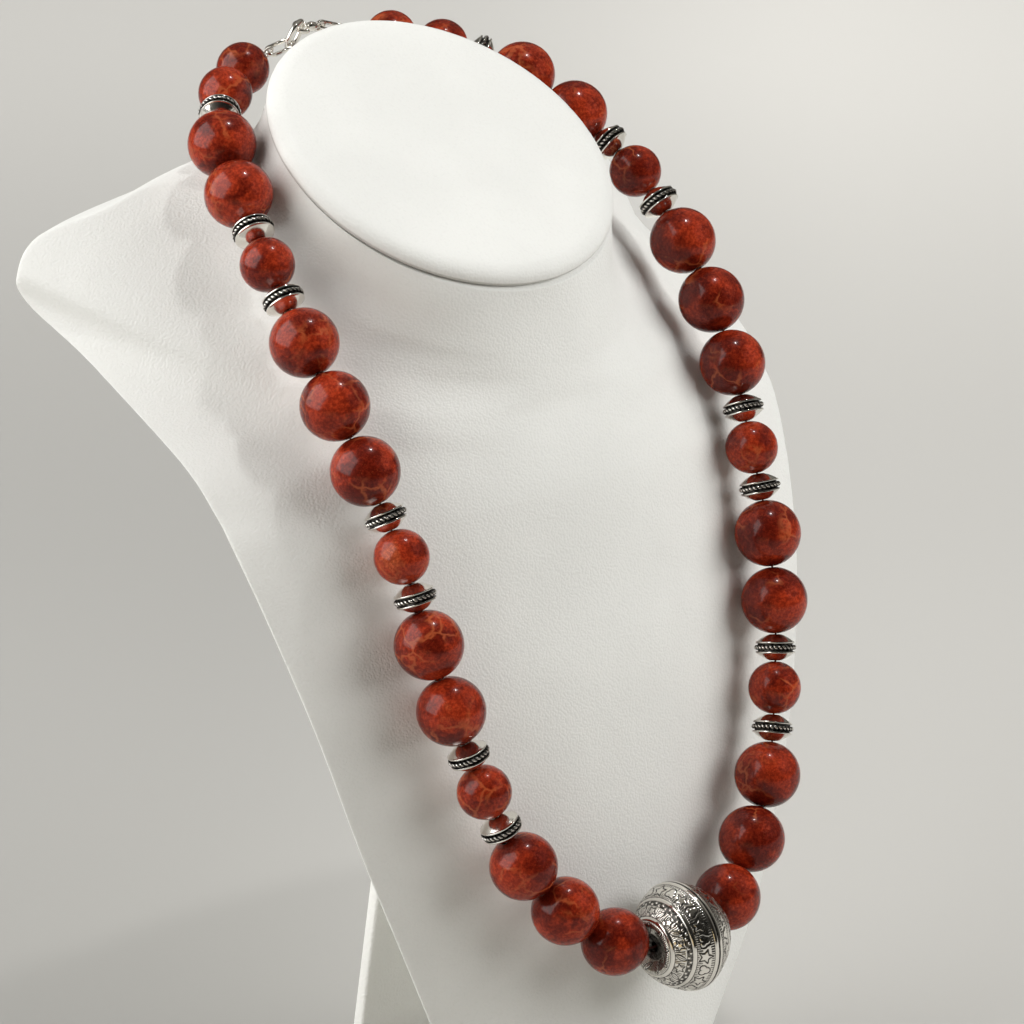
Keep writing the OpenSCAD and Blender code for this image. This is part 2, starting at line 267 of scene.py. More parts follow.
def mesh_object(name, points, faces, smooth=True):
    mesh = bpy.data.meshes.new(name)
    mesh.from_pydata([tuple(p) for p in np.asarray(points) * MM], [], [tuple(f) for f in faces])
    mesh.polygons.foreach_set("use_smooth", [smooth] * len(mesh.polygons))
    mesh.update()
    return linked(name, mesh)


def path_object(name, points):
    """An object of edges round a closed path of points, for the winding tree."""
    count = len(points)
    mesh = bpy.data.meshes.new(name)
    edges = [(i, (i + 1) % count) for i in range(count)]
    mesh.from_pydata([tuple(p) for p in np.asarray(points) * MM], edges, [])
    return linked(name, mesh)


def vertex_places(mesh):
    """The vertices' places in metres, a row each."""
    places = np.empty(len(mesh.vertices) * 3)
    mesh.vertices.foreach_get("co", places)
    return places.reshape(-1, 3)


def float_attribute(mesh, name, values):
    layer = mesh.attributes.new(name, "FLOAT", "POINT")
    layer.data.foreach_set("value", np.asarray(values, np.float32))


def grid_faces(rows, columns, close_rows=False):
    """Quads over a grid of points stored row after row, each row closed."""
    faces = []
    for r in range(rows if close_rows else rows - 1):
        s = (r + 1) % rows
        for c in range(columns):
            d = (c + 1) % columns
            faces.append((r * columns + c, r * columns + d, s * columns + d, s * columns + c))
    return faces


def around(count):
    """Evenly spaced angles round a circle."""
    return 2 * np.pi * np.arange(count) / count


def polar(radius, angle, z):
    """Points at a radius and an angle round Z, and at a height."""
    radius, angle, z = np.broadcast_arrays(radius, angle, z)
    return np.stack([radius * np.cos(angle), radius * np.sin(angle), z], axis=-1)


def lathe(profile, segments):
    """Points and faces of a closed profile of (radius, height) turned round Z, outside out."""
    profile = np.asarray(profile, float)
    x, y = profile[:, 0], profile[:, 1]
    area = np.sum(x * np.roll(y, -1) - np.roll(x, -1) * y)
    if area < 0:
        profile = profile[::-1]
    points = polar(profile[:, :1], around(segments), profile[:, 1:])
    return points.reshape(-1, 3), grid_faces(len(profile), segments, close_rows=True)


def basis(z_axis):
    """Rotation whose third column is z_axis and whose first lies level."""
    z = unit(z_axis)
    x = unit(np.cross((0, 0, 1), z))
    return np.column_stack([x, np.cross(z, x), z])


def run_length(points):
    """The length along a line of points up to each of them."""
    return np.concatenate([[0], np.cumsum(np.hypot(*np.diff(points, axis=0).T))])


def face_away(obj):
    """Turns a closed mesh's faces outwards if they all point inwards."""
    mesh = obj.data
    mesh.calc_loop_triangles()
    places = vertex_places(mesh)
    corners = np.empty(len(mesh.loop_triangles) * 3, int)
    mesh.loop_triangles.foreach_get("vertices", corners)
    a, b, c = (places[corners.reshape(-1, 3)[:, i]] for i in range(3))
    if np.sum(np.einsum("ij,ij->i", a, np.cross(b, c))) < 0:
        mesh.flip_normals()
    return obj


def skin(name, rings):
    """A closed body over rings of points, with a flat face on its first and its last ring."""
    points = np.concatenate(rings)
    columns = len(rings[0])
    faces = grid_faces(len(rings), columns)
    faces.append(tuple(range(columns))[::-1])
    faces.append(tuple(range(len(points) - columns, len(points))))
    return face_away(mesh_object(name, points, faces))


def shade(obj, crease):
    """Smooth shading, but sharp across edges that turn by more than crease degrees."""
    obj.data.polygons.foreach_set("use_smooth", [True] * len(obj.data.polygons))
    obj.data.set_sharp_from_angle(angle=math.radians(crease))


def replace_mesh(obj):
    """Turns what the object's modifiers make into its plain mesh and removes them."""
    graph = bpy.context.evaluated_depsgraph_get()
    graph.update()
    mesh = bpy.data.meshes.new_from_object(obj.evaluated_get(graph), depsgraph=graph)
    mesh.name = obj.name
    obj.modifiers.clear()
    obj.data = mesh
    return obj


def joined(name, parts):
    """One object from several meshes' points, faces and tarnish-and-shade values. The parts are removed."""
    points, faces, tarnish, start = [], [], [], 0
    for part in parts:
        mesh = part.data
        points.append(vertex_places(mesh))
        faces += [tuple(start + v for v in p.vertices) for p in mesh.polygons]
        values = np.zeros(len(mesh.vertices), np.float32)
        if "tarnish" in mesh.attributes:
            mesh.attributes["tarnish"].data.foreach_get("value", values)
        tarnish.append(values)
        start += len(mesh.vertices)
        bpy.data.objects.remove(part)
    obj = mesh_object(name, np.concatenate(points) / MM, faces)
    float_attribute(obj.data, "tarnish", np.concatenate(tarnish))
    return obj


def smooth_copy(name, node):
    """A welded copy of a CAD node's mesh, shaded smooth except at its sharp edges."""
    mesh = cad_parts[node].data.copy()
    mesh.name = name
    obj = linked(name, mesh)
    weld = obj.modifiers.new("Weld", "WELD")
    weld.merge_threshold = 0.002 * MM
    replace_mesh(obj)
    shade(obj, 40)
    float_attribute(obj.data, "tarnish", np.zeros(len(obj.data.vertices)))
    return obj


# Node trees


def new_tree(name, kind, inputs, outputs):
    """A tree with named inputs (label, type, default) and outputs (label, type), and their sockets."""
    tree = bpy.data.node_groups.new(name, kind)
    for label, socket_type, default in inputs:
        socket = tree.interface.new_socket(label, in_out="INPUT", socket_type=socket_type)
        if default is not None:
            socket.default_value = default
    for label, socket_type in outputs:
        tree.interface.new_socket(label, in_out="OUTPUT", socket_type=socket_type)
    return tree, tree.nodes.new("NodeGroupInput").outputs, tree.nodes.new("NodeGroupOutput").inputs


def geometry_tree(name, inputs):
    """A geometry tree with a Geometry input and output and the named inputs."""
    geometry = ("Geometry", "NodeSocketGeometry")
    return new_tree(name, "GeometryNodeTree", [(*geometry, None), *inputs], [geometry])


def add(tree, kind, wires=None, **settings):
    """A node with settings and with its inputs wired to sockets or set to values."""
    node = tree.nodes.new(kind)
    for key, value in settings.items():
        setattr(node, key, value)
    for key, value in (wires or {}).items():
        socket = node.inputs[key]
        if isinstance(value, bpy.types.NodeSocket):
            tree.links.new(value, socket)
        else:
            socket.default_value = value
    return node


def maths(tree, operation, a, b=0.0, clamp=False):
    return add(tree, "ShaderNodeMath", {0: a, 1: b}, operation=operation, use_clamp=clamp).outputs[0]


def vector_maths(tree, operation, a, b):
    """A sum of two vectors, or for SCALE of a vector and a number."""
    wires = {0: a, "Scale" if operation == "SCALE" else 1: b}
    return add(tree, "ShaderNodeVectorMath", wires, operation=operation).outputs[0]


def run_tree(obj, tree, values):
    """Applies a geometry tree to the object with its inputs set by their identifiers."""
    modifier = obj.modifiers.new(tree.name, "NODES")
    modifier.node_group = tree
    for item in tree.interface.items_tree:
        if item.item_type == "SOCKET" and item.in_out == "INPUT" and item.name in values:
            modifier[item.identifier] = values[item.name]
    return replace_mesh(obj)


def finish_tree(tree, geometry, material, result):
    """Ends a geometry tree in a real mesh that carries its material."""
    solid = add(tree, "GeometryNodeRealizeInstances", {"Geometry": geometry})
    finished = add(tree, "GeometryNodeSetMaterial", {"Geometry": solid.outputs[0], "Material": material})
    tree.links.new(finished.outputs[0], result[0])
    return tree


def threading_tree():
    """Sets one drilled piece at each point, its hole along the point's 'hole' direction."""
    tree, given, result = geometry_tree(
        "Thread pieces",
        [
            ("Piece", "NodeSocketObject", None),
            ("Material", "NodeSocketMaterial", None),
            ("Least size", "NodeSocketFloat", 0.985),
            ("Seed", "NodeSocketInt", 3),
        ],
    )
    piece = add(tree, "GeometryNodeObjectInfo", {"Object": given["Piece"]})
    hole = add(tree, "GeometryNodeInputNamedAttribute", {"Name": "hole"}, data_type="FLOAT_VECTOR")
    hole_way = next(s for s in hole.outputs if s.name == "Attribute" and s.enabled)
    along = add(tree, "FunctionNodeAlignRotationToVector", {"Vector": hole_way}, axis="Z")
    turn = add(tree, "FunctionNodeRandomValue", {2: 0.0, 3: 2 * math.pi, "Seed": given["Seed"]})
    spin = add(tree, "FunctionNodeAxisAngleToRotation", {"Axis": (0, 0, 1), "Angle": turn.outputs[1]})
    turned = add(
        tree,
        "FunctionNodeRotateRotation",
        {"Rotation": along.outputs[0], "Rotate By": spin.outputs[0]},
        rotation_space="LOCAL",
    )
    size = add(tree, "FunctionNodeRandomValue", {2: given["Least size"], 3: 1.0, "Seed": given["Seed"]})
    placed = add(
        tree,
        "GeometryNodeInstanceOnPoints",
        {
            "Points": given["Geometry"],
            "Instance": piece.outputs["Geometry"],
            "Rotation": turned.outputs[0],
            "Scale": size.outputs[1],
        },
    )
    return finish_tree(tree, placed.outputs[0], given["Material"], result)


def winding_tree():
    """Winds round wires about a path of edges: a twisted pair, or one wire coiled on a core."""
    tree, given, result = geometry_tree(
        "Wind wires",
        [
            ("Turns", "NodeSocketFloat", 16.0),
            ("Winding radius", "NodeSocketFloat", 0.0005),
            ("Wire radius", "NodeSocketFloat", 0.0004),
            ("Steps", "NodeSocketInt", 256),
            ("Sides", "NodeSocketInt", 8),
            ("Second wire", "NodeSocketBool", False),
            ("Material", "NodeSocketMaterial", None),
        ],
    )
    path = add(tree, "GeometryNodeMeshToCurve", {"Mesh": given["Geometry"]})
    even = add(tree, "GeometryNodeResampleCurve", {"Curve": path.outputs[0], "Count": given["Steps"]})
    way = tree.nodes.new("GeometryNodeInputTangent").outputs[0]
    normal = tree.nodes.new("GeometryNodeInputNormal").outputs[0]
    side = vector_maths(tree, "CROSS_PRODUCT", way, normal)
    factor = tree.nodes.new("GeometryNodeSplineParameter").outputs["Factor"]
    angle = maths(tree, "MULTIPLY", maths(tree, "MULTIPLY", factor, given["Turns"]), 2 * math.pi)
    circle = {"Resolution": given["Sides"], "Radius": given["Wire radius"]}
    profile = add(tree, "GeometryNodeCurvePrimitiveCircle", circle).outputs[0]
    wires = []
    for phase in (0, math.pi):
        turned = maths(tree, "ADD", angle, phase)
        out = vector_maths(tree, "SCALE", normal, maths(tree, "COSINE", turned))
        up = vector_maths(tree, "SCALE", side, maths(tree, "SINE", turned))
        reach = vector_maths(tree, "SCALE", vector_maths(tree, "ADD", out, up), given["Winding radius"])
        wound = add(tree, "GeometryNodeSetPosition", {"Geometry": even.outputs[0], "Offset": reach})
        swept = {"Curve": wound.outputs[0], "Profile Curve": profile, "Fill Caps": True}
        wires.append(add(tree, "GeometryNodeCurveToMesh", swept).outputs[0])
    chosen = {"Switch": given["Second wire"], "True": wires[1]}
    second = add(tree, "GeometryNodeSwitch", chosen, input_type="GEOMETRY").outputs[0]
    both = tree.nodes.new("GeometryNodeJoinGeometry")
    tree.links.new(wires[0], both.inputs[0])
    tree.links.new(second, both.inputs[0])
    smooth = add(tree, "GeometryNodeSetShadeSmooth", {"Geometry": both.outputs[0]})
    return finish_tree(tree, smooth.outputs[0], given["Material"], result)


def winding(obj, turns, winding_radius, wire_radius, steps, sides, pair, material):
    """Runs the winding tree on a path, with sizes in millimetres."""
    tree = bpy.data.node_groups.get("Wind wires") or winding_tree()
    values = {
        "Turns": float(turns),
        "Winding radius": winding_radius * MM,
        "Wire radius": wire_radius * MM,
        "Steps": steps,
        "Sides": sides,
        "Second wire": pair,
        "Material": material,
    }
    return run_tree(obj, tree, values)


# Patterns


def ramp(tree, factor, low, high):
    """A mask that rises from 0 to 1 as factor goes from low to high."""
    wires = {"Value": factor, "From Min": low, "From Max": high}
    return add(tree, "ShaderNodeMapRange", wires, interpolation_type="SMOOTHSTEP").outputs[0]


def between(tree, factor, low, high, start=0.0, end=1.0):
    """A value from low to high as factor goes from start to end."""
    wires = {"Value": factor, "From Min": start, "From Max": end, "To Min": low, "To Max": high}
    return add(tree, "ShaderNodeMapRange", wires).outputs[0]


def mix_colour(tree, factor, first, second, blend="MIX"):
    node = tree.nodes.new("ShaderNodeMix")
    node.data_type = "RGBA"
    node.blend_type = blend
    for index, value in ((0, factor), (6, first), (7, second)):
        if isinstance(value, bpy.types.NodeSocket):
            tree.links.new(value, node.inputs[index])
        else:
            node.inputs[index].default_value = value if index == 0 else (*value, 1)
    return node.outputs[2]


def noise(tree, place, scale, detail, rough=0.55, output=0):
    """Noise with scale swells to a metre: its value, or its Color."""
    wires = {"Vector": place, "Scale": scale, "Detail": detail, "Roughness": rough}
    return add(tree, "ShaderNodeTexNoise", wires).outputs[output]


def warped(tree, place, scale, detail, pull):
    """Coordinates that noise pulls about, so that a pattern on them bends."""
    colour = noise(tree, place, scale, detail, output="Color")
    return add(tree, "ShaderNodeMix", {0: pull, 4: place, 5: colour}, data_type="VECTOR").outputs[1]


def scuffs_group():
    """Fine scuffs: a mask that varies, and a height, at the asked fineness."""
    tree, given, result = new_tree(
        "Scuffs",
        "ShaderNodeTree",
        [("Vector", "NodeSocketVector", None), ("Fineness", "NodeSocketFloat", 900.0)],
        [("Mask", "NodeSocketFloat"), ("Height", "NodeSocketFloat")],
    )
    broad = noise(tree, given["Vector"], given["Fineness"], 4.0, 0.6)
    stretched = vector_maths(tree, "MULTIPLY", given["Vector"], (1, 1, 6))
    fine = noise(tree, stretched, given["Fineness"], 5.0, 0.7)
    tree.links.new(ramp(tree, broad, 0.42, 0.62), result["Mask"])
    tree.links.new(fine, result["Height"])


def pebble_group():
    """Leatherette grain: small rounded pebbles with creases between them."""
    tree, given, result = new_tree(
        "Pebble grain",
        "ShaderNodeTree",
        [("Vector", "NodeSocketVector", None), ("Pebbles per metre", "NodeSocketFloat", 1100.0)],
        [("Height", "NodeSocketFloat"), ("Crease", "NodeSocketFloat")],
    )
    bent = warped(tree, given["Vector"], 500.0, 2.0, 0.0004)
    cell = {"Vector": bent, "Scale": given["Pebbles per metre"], "Randomness": 0.9}
    away = add(tree, "ShaderNodeTexVoronoi", cell, feature="SMOOTH_F1").outputs["Distance"]
    tree.links.new(ramp(tree, away, 0.75, 0.1), result["Height"])
    tree.links.new(ramp(tree, away, 0.45, 0.75), result["Crease"])


# Materials


def new_material(name):
    """An empty material: its tree, its Principled shader and the object coordinates."""
    material = bpy.data.materials.new(name)
    material.use_nodes = True
    tree = material.node_tree
    shader = tree.nodes["Principled BSDF"]
    place = tree.nodes.new("ShaderNodeTexCoord").outputs["Object"]
    return material, tree, shader, place


def attribute(tree, name):
    return add(tree, "ShaderNodeAttribute", attribute_name=name).outputs["Fac"]


def group(tree, name, values):
    """A shared pattern with its inputs wired or set."""
    return add(tree, "ShaderNodeGroup", values, node_tree=bpy.data.node_groups[name]).outputs


def bump(tree, shader, height, distance, strength):
    node = add(tree, "ShaderNodeBump", {"Height": height, "Distance": distance, "Strength": strength})
    tree.links.new(node.outputs[0], shader.inputs["Normal"])


def coral_material():
    """Polished coral: red with dark and warm clouds, fine mottling, orange veins and specks."""
    settings = bpy.context.scene.coral_settings
    red, dark, orange = (tuple(c) for c in (settings.red, settings.dark, settings.orange))
    material, tree, shader, place = new_material("polished coral")
    bent = warped(tree, place, 160.0, 3.0, 0.007)

    # The bead's own tone makes its clouds lighter or darker.
    tone = maths(tree, "MULTIPLY", maths(tree, "SUBTRACT", attribute(tree, "tone"), MIDDLE_TONE), 0.10)
    clouds = maths(tree, "ADD", noise(tree, bent, 95.0, 5.0, 0.6), tone)
    colour = mix_colour(tree, ramp(tree, clouds, 0.40, 0.60), dark, red)
    warm = maths(tree, "MULTIPLY", ramp(tree, clouds, 0.60, 0.78), 0.5)
    colour = mix_colour(tree, warm, colour, orange)

    mottle = noise(tree, place, 1150.0, 6.0, 0.72)
    mottled = mix_colour(tree, ramp(tree, mottle, 0.40, 0.66), (0.62, 0.56, 0.54), (1.26, 1.36, 1.3))
    colour = mix_colour(tree, 1.0, colour, mottled, "MULTIPLY")

    cracks = add(tree, "ShaderNodeTexVoronoi", {"Vector": bent, "Scale": 130.0}, feature="DISTANCE_TO_EDGE")
    vein = ramp(tree, cracks.outputs["Distance"], 0.085, 0.0)
    some = ramp(tree, noise(tree, place, 70.0, 2.0), 0.49, 0.64)
    veins = maths(tree, "MULTIPLY", maths(tree, "MULTIPLY", vein, some), 0.5)
    colour = mix_colour(tree, veins, colour, orange)

    grains = add(tree, "ShaderNodeTexVoronoi", {"Vector": place, "Scale": 2300.0, "Randomness": 1.0})
    speck = ramp(tree, grains.outputs["Distance"], 0.22, 0.10)
    few = ramp(tree, noise(tree, place, 350.0, 3.0), 0.50, 0.62)
    specks = maths(tree, "MULTIPLY", maths(tree, "MULTIPLY", speck, few), 0.45)
    tree.links.new(mix_colour(tree, specks, colour, orange), shader.inputs["Base Color"])

    tree.links.new(between(tree, mottle, 0.20, 0.30), shader.inputs["Roughness"])
    shader.inputs["IOR"].default_value = 1.5
    shader.inputs["Specular IOR Level"].default_value = 0.12
    shader.inputs["Coat Weight"].default_value = 0.22
    shader.inputs["Coat Roughness"].default_value = 0.06
    bump(tree, shader, mottle, 0.00004, 0.35)
    return material


def silver_material(name, polish, fineness=900.0):
    """Silver that is bright where it is rubbed and black where its attribute says: tarnish in hollows, and
    painted shade on the centre bead's dish floor.
    """
    settings = bpy.context.scene.silver_settings
    material, tree, shader, place = new_material(name)
    tarnish = attribute(tree, "tarnish")
    scuffs = group(tree, "Scuffs", {"Vector": place, "Fineness": fineness})
    uneven = maths(tree, "MULTIPLY", maths(tree, "SUBTRACT", scuffs["Mask"], 0.5), 0.18)
    black = maths(tree, "ADD", tarnish, maths(tree, "MULTIPLY", uneven, tarnish), clamp=True)
    colour = mix_colour(tree, black, tuple(settings.bright), tuple(settings.black))
    tree.links.new(colour, shader.inputs["Base Color"])
    shader.inputs["Metallic"].default_value = 1.0
    base = maths(tree, "ADD", maths(tree, "MULTIPLY", scuffs["Mask"], 0.06), polish)
    rough = maths(tree, "ADD", base, maths(tree, "MULTIPLY", black, 0.3))
    tree.links.new(rough, shader.inputs["Roughness"])
    bump(tree, shader, scuffs["Height"], 0.00001, 0.25)
    return material


def covering_material(name, softness=1.0, painted_lightness=1.0):
    """White leatherette with a fine pebble grain, and a painted brown shadow where an attribute marks the
    gap under a tucked edge.
    """
    settings = bpy.context.scene.bust_settings
    material, tree, shader, place = new_material(name)
    grain = group(tree, "Pebble grain", {"Vector": place, "Pebbles per metre": 1 / settings.grain})
    # A paleness above 1 paints the covering lighter, as painted light.
    white = tuple(c * painted_lightness for c in settings.white)
    grey = tuple(c * 0.94 for c in white)
    shadow = tuple(c * 0.72 for c in white)
    gap_shadow_brown = (0.10, 0.075, 0.045)
    colour = mix_colour(tree, ramp(tree, noise(tree, place, 14.0, 3.0), 0.35, 0.65), grey, white)
    colour = mix_colour(tree, maths(tree, "MULTIPLY", grain["Crease"], 0.10), colour, shadow)
    # Painted shadow: a brown line in the gap under the pad's tucked edge.
    colour = mix_colour(tree, attribute(tree, "seam"), colour, gap_shadow_brown)
    tree.links.new(colour, shader.inputs["Base Color"])
    tree.links.new(between(tree, grain["Crease"], 0.50, 0.62), shader.inputs["Roughness"])
    shader.inputs["Specular IOR Level"].default_value = 0.35
    bump(tree, shader, grain["Height"], 0.0001 * softness, 0.65)
    return material


def thread_material():
    """Dark beading thread with fine fibres."""
    material, tree, shader, place = new_material("beading thread")
    fibres = noise(tree, place, 4000.0, 4.0)
    colour = mix_colour(tree, fibres, (0.05, 0.012, 0.01), (0.14, 0.04, 0.03))
    tree.links.new(colour, shader.inputs["Base Color"])
    shader.inputs["Roughness"].default_value = 0.8
    bump(tree, shader, fibres, 0.00005, 0.6)
    return material


def dress(obj, material, slot, *nodes):
    """Gives a finished piece its material and its body, and hides the nodes it stands for. The slot is not
    used.
    """
    obj.data.materials.clear()
    obj.data.materials.append(material)
    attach(obj, "root")
    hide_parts(*nodes)


# Beads and spacers


def places_object(name, kind):
    """A mesh of loose points, one for each threaded piece of a kind, with the way of its hole."""
    rows = [p for p in THREADED if p[0] == kind]
    mesh = bpy.data.meshes.new(name)
    mesh.from_pydata([tuple(p[2] * MM) for p in rows], [], [])
    layer = mesh.attributes.new("hole", "FLOAT_VECTOR", "POINT")
    layer.data.foreach_set("vector", np.concatenate([p[3] for p in rows]).astype(np.float32))
    float_attribute(mesh, "tone", [TONE_OF.get(p[1], MIDDLE_TONE) for p in rows])
    return linked(name, mesh)


def threaded_pieces(name, kind, master, material, slot, seed, least):
    """One mesh of every piece of a kind on the string, each at least that share of full size."""
    obj = places_object(name, kind)
    tree = bpy.data.node_groups.get("Thread pieces") or threading_tree()
    run_tree(obj, tree, {"Piece": master, "Material": material, "Seed": seed, "Least size": least})
    bpy.data.objects.remove(master)
    dress(obj, material, slot, *[p[1] for p in THREADED if p[0] == kind])


def drilled_ball(name, diameter, hole, rings, segments):
    """A ball with a drilled hole along Z whose mouths are softly worn."""
    ball_r = diameter / MM / 2
    bore_r = hole / MM / 2
    worn = 0.3
    start = math.asin((bore_r + worn) / ball_r)
    turns = np.linspace(start, math.pi - start, rings)
    outer = [(ball_r * math.sin(t), ball_r * math.cos(t)) for t in turns]
    mouth = outer[-1][1]
    lip = [(bore_r + 0.1, mouth - 0.02), (bore_r, mouth + 0.15), (bore_r, mouth + 0.8), (bore_r, 0.0)]
    other_lip = [(r, -z) for r, z in lip[-2::-1]]
    points, faces = lathe(outer + lip + other_lip, segments)
    return mesh_object(name, points, faces)


class NECKLACE_OT_coral_beads(bpy.types.Operator):
    """Make the large and small coral beads."""

    bl_idname = "necklace.coral_beads"
    bl_label = "Coral beads"

    def execute(self, context):
        settings = context.scene.coral_settings
        material = coral_material()
        hole = settings.hole_diameter
        large = drilled_ball("large bead", settings.large_diameter, hole, 34, 64)
        threaded_pieces("large_coral_beads", "L", large, material, "coral", 11, 0.985)
        small = drilled_ball("small bead", settings.small_diameter, hole, 30, 56)
        threaded_pieces("small_coral_beads", "S", small, material, "coral", 5, 0.985)
        return {"FINISHED"}


def spacer_saucer(diameter):
    """The turned part of a spacer: two saucer domes, their bright rims and the groove between them."""
    hole = 1.15
    end = HALF_LENGTH["o"]
    band = 1.7
    rim = diameter / 2 - 0.45
    groove = rim - 0.6
    neck = 1.7
    dome = [(neck + (rim - 1.9) * u, band + (end - band) * (1 - u**1.4)) for u in np.linspace(0, 1, 15)]
    lip = [(rim - 0.05, band + 0.02), (rim, band - 0.08), (rim, band - 0.37), (rim - 0.08, band - 0.45)]
    wall = [(groove + 0.1, band - 0.47), (groove, band - 0.55), (groove, band - 1.0)]
    half = [(hole, end - 0.15), (hole + 0.15, end), *dome, *lip, *wall]
    points, faces = lathe(half + [(r, -z) for r, z in half[::-1]], 72)
    obj = mesh_object("saucer", points, faces)
    radius = np.linalg.norm(points[:, :2], axis=1)
    height = np.abs(points[:, 2])
    hollow = (height < band - 0.40) & (radius < rim - 0.03)
    mouth = (radius < 2.0) & (height > 3.6)
    float_attribute(obj.data, "tarnish", np.where(hollow, 1.0, np.where(mouth, 0.25, 0.0)))
    return obj


def spacer_rope(diameter, twists):
    """The two-wire rope that lies in a spacer's groove, black except on its crests."""
    centre = diameter / 2 - 0.72
    wire = 0.36
    rope = path_object("rope", polar(centre, around(96), 0.0))
    winding(rope, twists, wire, wire, twists * 16, 8, True, None)
    crest = np.linalg.norm(vertex_places(rope.data)[:, :2] / MM, axis=1) - centre
    float_attribute(rope.data, "tarnish", np.clip((0.61 - crest) / 0.1, 0, 1))
    return rope


class NECKLACE_OT_spacers(bpy.types.Operator):
    """Make the silver saucer spacers with their twisted wire."""

    bl_idname = "necklace.spacers"
    bl_label = "Silver spacers"

    def execute(self, context):
        settings = context.scene.silver_settings
        diameter = settings.spacer_diameter / MM
        material = silver_material("polished silver", 0.13)
        master = joined("spacer", [spacer_saucer(diameter), spacer_rope(diameter, settings.rope_twists)])
        threaded_pieces("silver_spacers", "o", master, material, "silver", 7, 0.995)
        return {"FINISHED"}


# Centre bead

# Radius of its body, half length, reach and fullness of its oval, and the dish in its ends as (radius,
# distance from the middle).
BODY_R = 16.2
BODY_HALF = 12.18
OVAL_REACH = 14.44
OVAL_FULLNESS = 1.34
DISH = ((1.6, 10.78), (4.0, 10.78), (7.05, BODY_HALF))
BORE_R = 1.5
BORE_STEP = 1.2
# Rows of points from the middle to an end, and how many of them lie on the dish's slope and its floor.
ROWS = 98
SLOPE_ROWS = 13
FLOOR_ROWS = 3
COLUMNS = 500


def edge(distance, width=0.12):
    """1 inside a figure, 0 outside, with a soft step. The distance is negative inside."""
    return np.clip(0.5 - distance / width, 0, 1)


def star_distance(x, y, outer, inner):
    """Signed distance, near the edge, of a five-point star with one point along y."""
    turn = np.abs((np.arctan2(x, y) + math.pi / 5) % (2 * math.pi / 5) - math.pi / 5)
    rho = np.hypot(x, y)
    px, py = rho * np.cos(turn), rho * np.sin(turn)
    ix, iy = inner * math.cos(math.pi / 5), inner * math.sin(math.pi / 5)
    ex, ey = ix - outer, iy
    return ((px - outer) * ey - py * ex) / math.hypot(ex, ey)


def leaf_distance(x, y, half_length, half_width):
    """Signed distance, near the edge, of a leaf along y."""
    radius = (half_length**2 + half_width**2) / (2 * half_width)
    return np.hypot(np.abs(x) + radius - half_width, y) - radius


def shield_distance(x, y):
    """Signed distance, near the edge, of a shield of three lobes."""
    return np.minimum(np.hypot(x, y + 0.75) - 1.15, np.hypot(np.abs(x) - 0.75, y - 0.35) - 1.0)


def centre_bead_profile():
    """Radius, place along the string and distance from the middle at each row from end to end."""
    z = BODY_HALF * np.cos(np.linspace(0, math.pi / 2, 200))
    r = BODY_R * np.sqrt(1 - (z / OVAL_REACH) ** OVAL_FULLNESS)
    half = np.concatenate([DISH, np.column_stack([r, z])])
    whole = np.concatenate([half, half[-2::-1] * (1, -1)])
    run = run_length(whole)
    middle = run[-1] / 2
    brim, foot = middle - run[2], middle - run[1]
    side = np.linspace(0, brim, ROWS - SLOPE_ROWS - FLOOR_ROWS)[1:]
    slope = np.linspace(brim, foot, SLOPE_ROWS + 1)[1:]
    floor = np.linspace(foot, middle, FLOOR_ROWS + 1)[1:]
    out = np.concatenate([side, slope, floor])
    s = np.concatenate([-out[::-1], [0], out])
    return np.interp(s + middle, run, whole[:, 0]), np.interp(s + middle, run, whole[:, 1]), s


